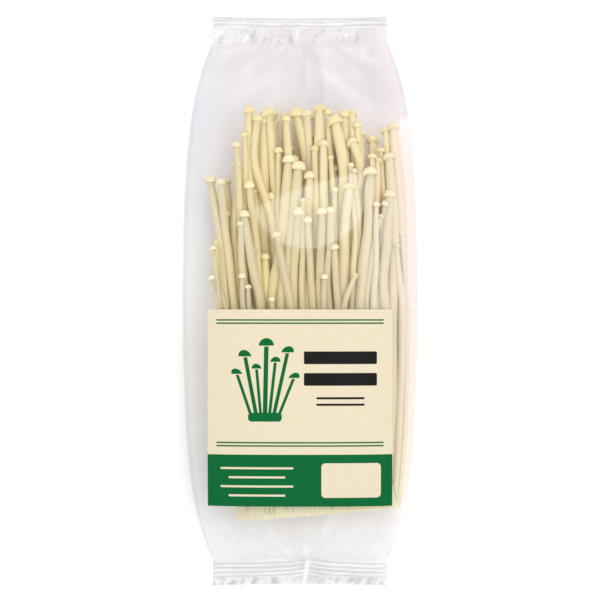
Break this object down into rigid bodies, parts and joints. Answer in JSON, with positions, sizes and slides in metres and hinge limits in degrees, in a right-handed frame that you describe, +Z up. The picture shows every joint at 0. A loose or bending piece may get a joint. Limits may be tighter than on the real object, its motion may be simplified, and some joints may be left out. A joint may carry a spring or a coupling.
{
  "type": "enoki mushroom bunch",
  "caption": "Cut bunch of long thin enoki mushrooms with small round caps, lying in a clear film pillow bag with a paper label, printed without any lettering, on its front.",
  "frame": {"origin": "under the middle of the bag, on the surface that its back lies on", "axes": "+Y from the cut feet to the caps, +X to the right across the front, +Z up out of the front"},
  "size_m": [0.0884, 0.214, 0.0282],
  "materials": {
    "mushroom": "smooth, slightly moist cream flesh",
    "clear_film": "clear, faintly hazy crinkled film",
    "label_paper": "coated paper, printed cream and green"
  },
  "bodies": {
    "root": {"mushroom_bunch": "mushroom", "film_bag": "clear_film", "label": "label_paper"}
  },
  "joints": []
}
